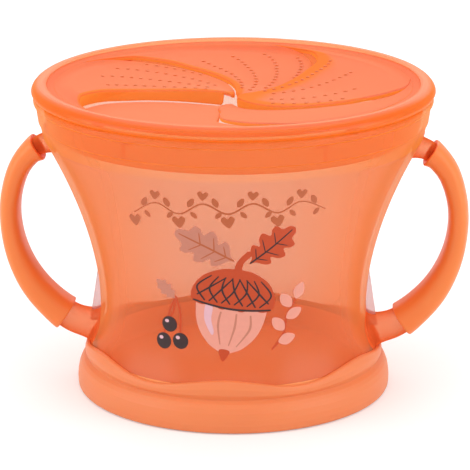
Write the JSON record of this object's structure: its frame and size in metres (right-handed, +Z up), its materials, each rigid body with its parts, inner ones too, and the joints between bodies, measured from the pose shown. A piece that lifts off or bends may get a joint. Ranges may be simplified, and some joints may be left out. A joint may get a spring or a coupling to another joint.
{
  "type": "toddler snack container",
  "caption": "Two-handled flared cup on a soft non-slip boot, with a plug-in lid of soft spiral flaps that a small hand pushes through while they hold the snacks in.",
  "frame": {"origin": "centre of the boot's underside, which is the bottom centre of the object's box", "axes": "+Z up, -Y towards the printed front, the two handles along +X and -X"},
  "size_m": [0.13, 0.1104, 0.0869],
  "materials": {
    "clear_cup": "glossy translucent moulded polypropylene",
    "clear_handle": "glossy translucent moulded polypropylene",
    "soft_grip": "satin soft-touch elastomer",
    "soft_boot": "satin soft-touch elastomer",
    "lid_ring": "glossy translucent moulded plastic",
    "lid_membrane": "translucent soft elastomer with a satin gloss"
  },
  "bodies": {
    "cup": {"cup_shell": "clear_cup", "handle_frame_left": "clear_handle", "handle_frame_right": "clear_handle", "grip_sleeve_left": "soft_grip", "grip_sleeve_right": "soft_grip", "base_boot": "soft_boot"},
    "lid": {"lid_ring": "lid_ring", "flap_membrane": "lid_membrane"},
    "flap_1": {"flap_1": "lid_membrane"},
    "flap_2": {"flap_2": "lid_membrane"},
    "flap_3": {"flap_3": "lid_membrane"},
    "flap_4": {"flap_4": "lid_membrane"},
    "flap_5": {"flap_5": "lid_membrane"}
  },
  "joints": [
    {"name": "lid_lift", "type": "slide", "parent": "cup", "child": "lid", "axis": [0, 0, 1], "range_m": [0, 0.06]},
    {"name": "flap_1_fold", "type": "hinge", "parent": "lid", "child": "flap_1", "pos_m": [-0.03705, 0.00201, 0.0827], "axis": [0.0541, 0.9985, 0], "range_deg": [0, 55], "stiffness_Nm_per_rad": 0.02, "springref_deg": -2.86},
    {"name": "flap_2_fold", "type": "hinge", "parent": "lid", "child": "flap_2", "pos_m": [-0.01336, -0.03461, 0.0827], "axis": [-0.933, 0.36, 0], "range_deg": [0, 55], "stiffness_Nm_per_rad": 0.02, "springref_deg": -2.86},
    {"name": "flap_3_fold", "type": "hinge", "parent": "lid", "child": "flap_3", "pos_m": [0.02879, -0.0234, 0.0827], "axis": [-0.6307, -0.776, 0], "range_deg": [0, 55], "stiffness_Nm_per_rad": 0.02, "springref_deg": -2.86},
    {"name": "flap_4_fold", "type": "hinge", "parent": "lid", "child": "flap_4", "pos_m": [0.03115, 0.02015, 0.0827], "axis": [0.5432, -0.8396, 0], "range_deg": [0, 55], "stiffness_Nm_per_rad": 0.02, "springref_deg": -2.86},
    {"name": "flap_5_fold", "type": "hinge", "parent": "lid", "child": "flap_5", "pos_m": [-0.00954, 0.03585, 0.0827], "axis": [0.9664, 0.2571, 0], "range_deg": [0, 55], "stiffness_Nm_per_rad": 0.02, "springref_deg": -2.86}
  ]
}
